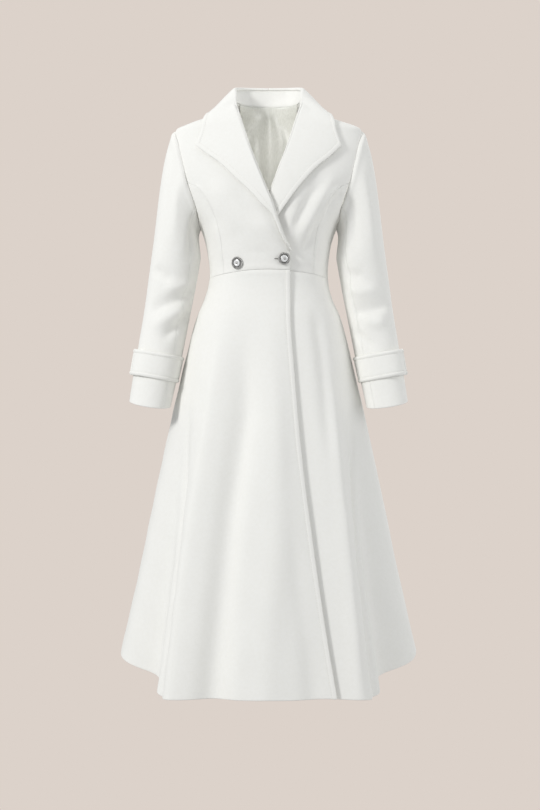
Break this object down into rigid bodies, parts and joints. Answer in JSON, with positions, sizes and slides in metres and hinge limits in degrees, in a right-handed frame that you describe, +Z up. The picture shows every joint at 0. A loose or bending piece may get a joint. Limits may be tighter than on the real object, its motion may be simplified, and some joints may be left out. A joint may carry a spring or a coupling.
{
  "type": "coat",
  "caption": "Long ivory wool princess coat in its worn form, with wing collar, wrap-over front, flared skirt, strapped cuffs and antique-silver buttons.",
  "frame": {"origin": "On the wearer's axis at the height of the base of the neck, where the coat hangs from the shoulders.", "axes": "+Z up, front faces -Y, +X to the wearer's left. Metres."},
  "size_m": [0.6032, 0.4953, 1.2284],
  "materials": {
    "ivory_wool": "felted, matt",
    "satin_lining": "satin",
    "antique_silver": "antiqued, polished dome"
  },
  "bodies": {
    "root": {"back_lining": "satin_lining", "bodice_back_left": "ivory_wool", "bodice_back_right": "ivory_wool", "bodice_centre_front_left": "ivory_wool", "bodice_centre_front_right": "ivory_wool", "bodice_side_front_left": "ivory_wool", "bodice_side_front_right": "ivory_wool", "button_fastened": "antique_silver", "button_outer": "antique_silver", "collar_left": "ivory_wool", "collar_right": "ivory_wool", "collar_stand": "ivory_wool", "cuff_strap_left": "ivory_wool", "cuff_strap_right": "ivory_wool", "skirt_back_left": "ivory_wool", "skirt_back_right": "ivory_wool", "skirt_front_left": "ivory_wool", "skirt_front_right": "ivory_wool", "under_sleeve_left": "ivory_wool", "under_sleeve_right": "ivory_wool", "upper_sleeve_left": "ivory_wool", "upper_sleeve_right": "ivory_wool"}
  },
  "joints": []
}
